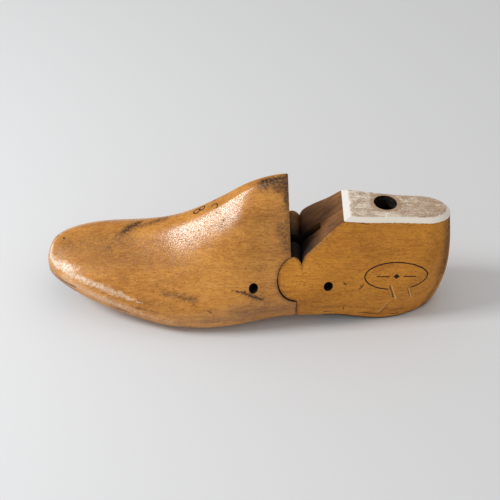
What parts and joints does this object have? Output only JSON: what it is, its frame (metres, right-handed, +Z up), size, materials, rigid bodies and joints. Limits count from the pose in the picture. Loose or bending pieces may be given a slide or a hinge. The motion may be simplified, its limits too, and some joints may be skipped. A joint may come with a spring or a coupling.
{
  "type": "hinged wooden shoe last",
  "caption": "Foot-shaped wooden shoemaking form, split and spring-hinged under a V cut, with a steel-lined hole in the heel top and thin steel plates under the heel and toe.",
  "frame": {"origin": "on the floor, under the middle of the last's length and width, as it rests on its ball and heel seat", "axes": "+Z up; the toe points to -X and the heel to +X; the outer (lateral) side of this left-foot last faces -Y"},
  "size_m": [0.2788, 0.0889, 0.0994],
  "materials": {
    "forepart_wood": "honey-brown varnished hardwood, worn glossy",
    "heel_wood": "honey-brown varnished hardwood, worn white paint on the top",
    "pin_steel": "dull dark steel",
    "spring_steel": "dark spring wire",
    "thimble_steel": "darkened steel tube",
    "plate_steel": "thin dark sheet steel",
    "nail_steel": "flat steel nail head"
  },
  "bodies": {
    "forepart_body": {"forepart": "forepart_wood", "forepart_pin": "pin_steel", "toe_plate": "plate_steel", "toe_plate_nail_1": "nail_steel", "toe_plate_nail_2": "nail_steel", "toe_plate_nail_3": "nail_steel"},
    "heel_body": {"heel_part": "heel_wood", "heel_pin": "pin_steel", "thimble": "thimble_steel", "heel_plate": "plate_steel", "heel_plate_nail_1": "nail_steel", "heel_plate_nail_2": "nail_steel", "heel_plate_nail_3": "nail_steel", "heel_plate_nail_4": "nail_steel", "heel_plate_nail_5": "nail_steel"},
    "spring_body": {"hinge_spring": "spring_steel"}
  },
  "joints": [
    {"name": "fold", "type": "hinge", "parent": "forepart_body", "child": "heel_body", "pos_m": [0.0344, -0.0025, 0.04], "axis": [0, -1, 0], "range_deg": [0, 32]},
    {"name": "spring_swing", "type": "hinge", "parent": "forepart_body", "child": "spring_body", "pos_m": [0.0044, -0.0025, 0.0364], "axis": [0, -1, 0], "range_deg": [0, 13.2]}
  ],
  "couplings": [
    {"joint": "spring_swing", "follows": "fold", "ratio": 0.408}
  ]
}
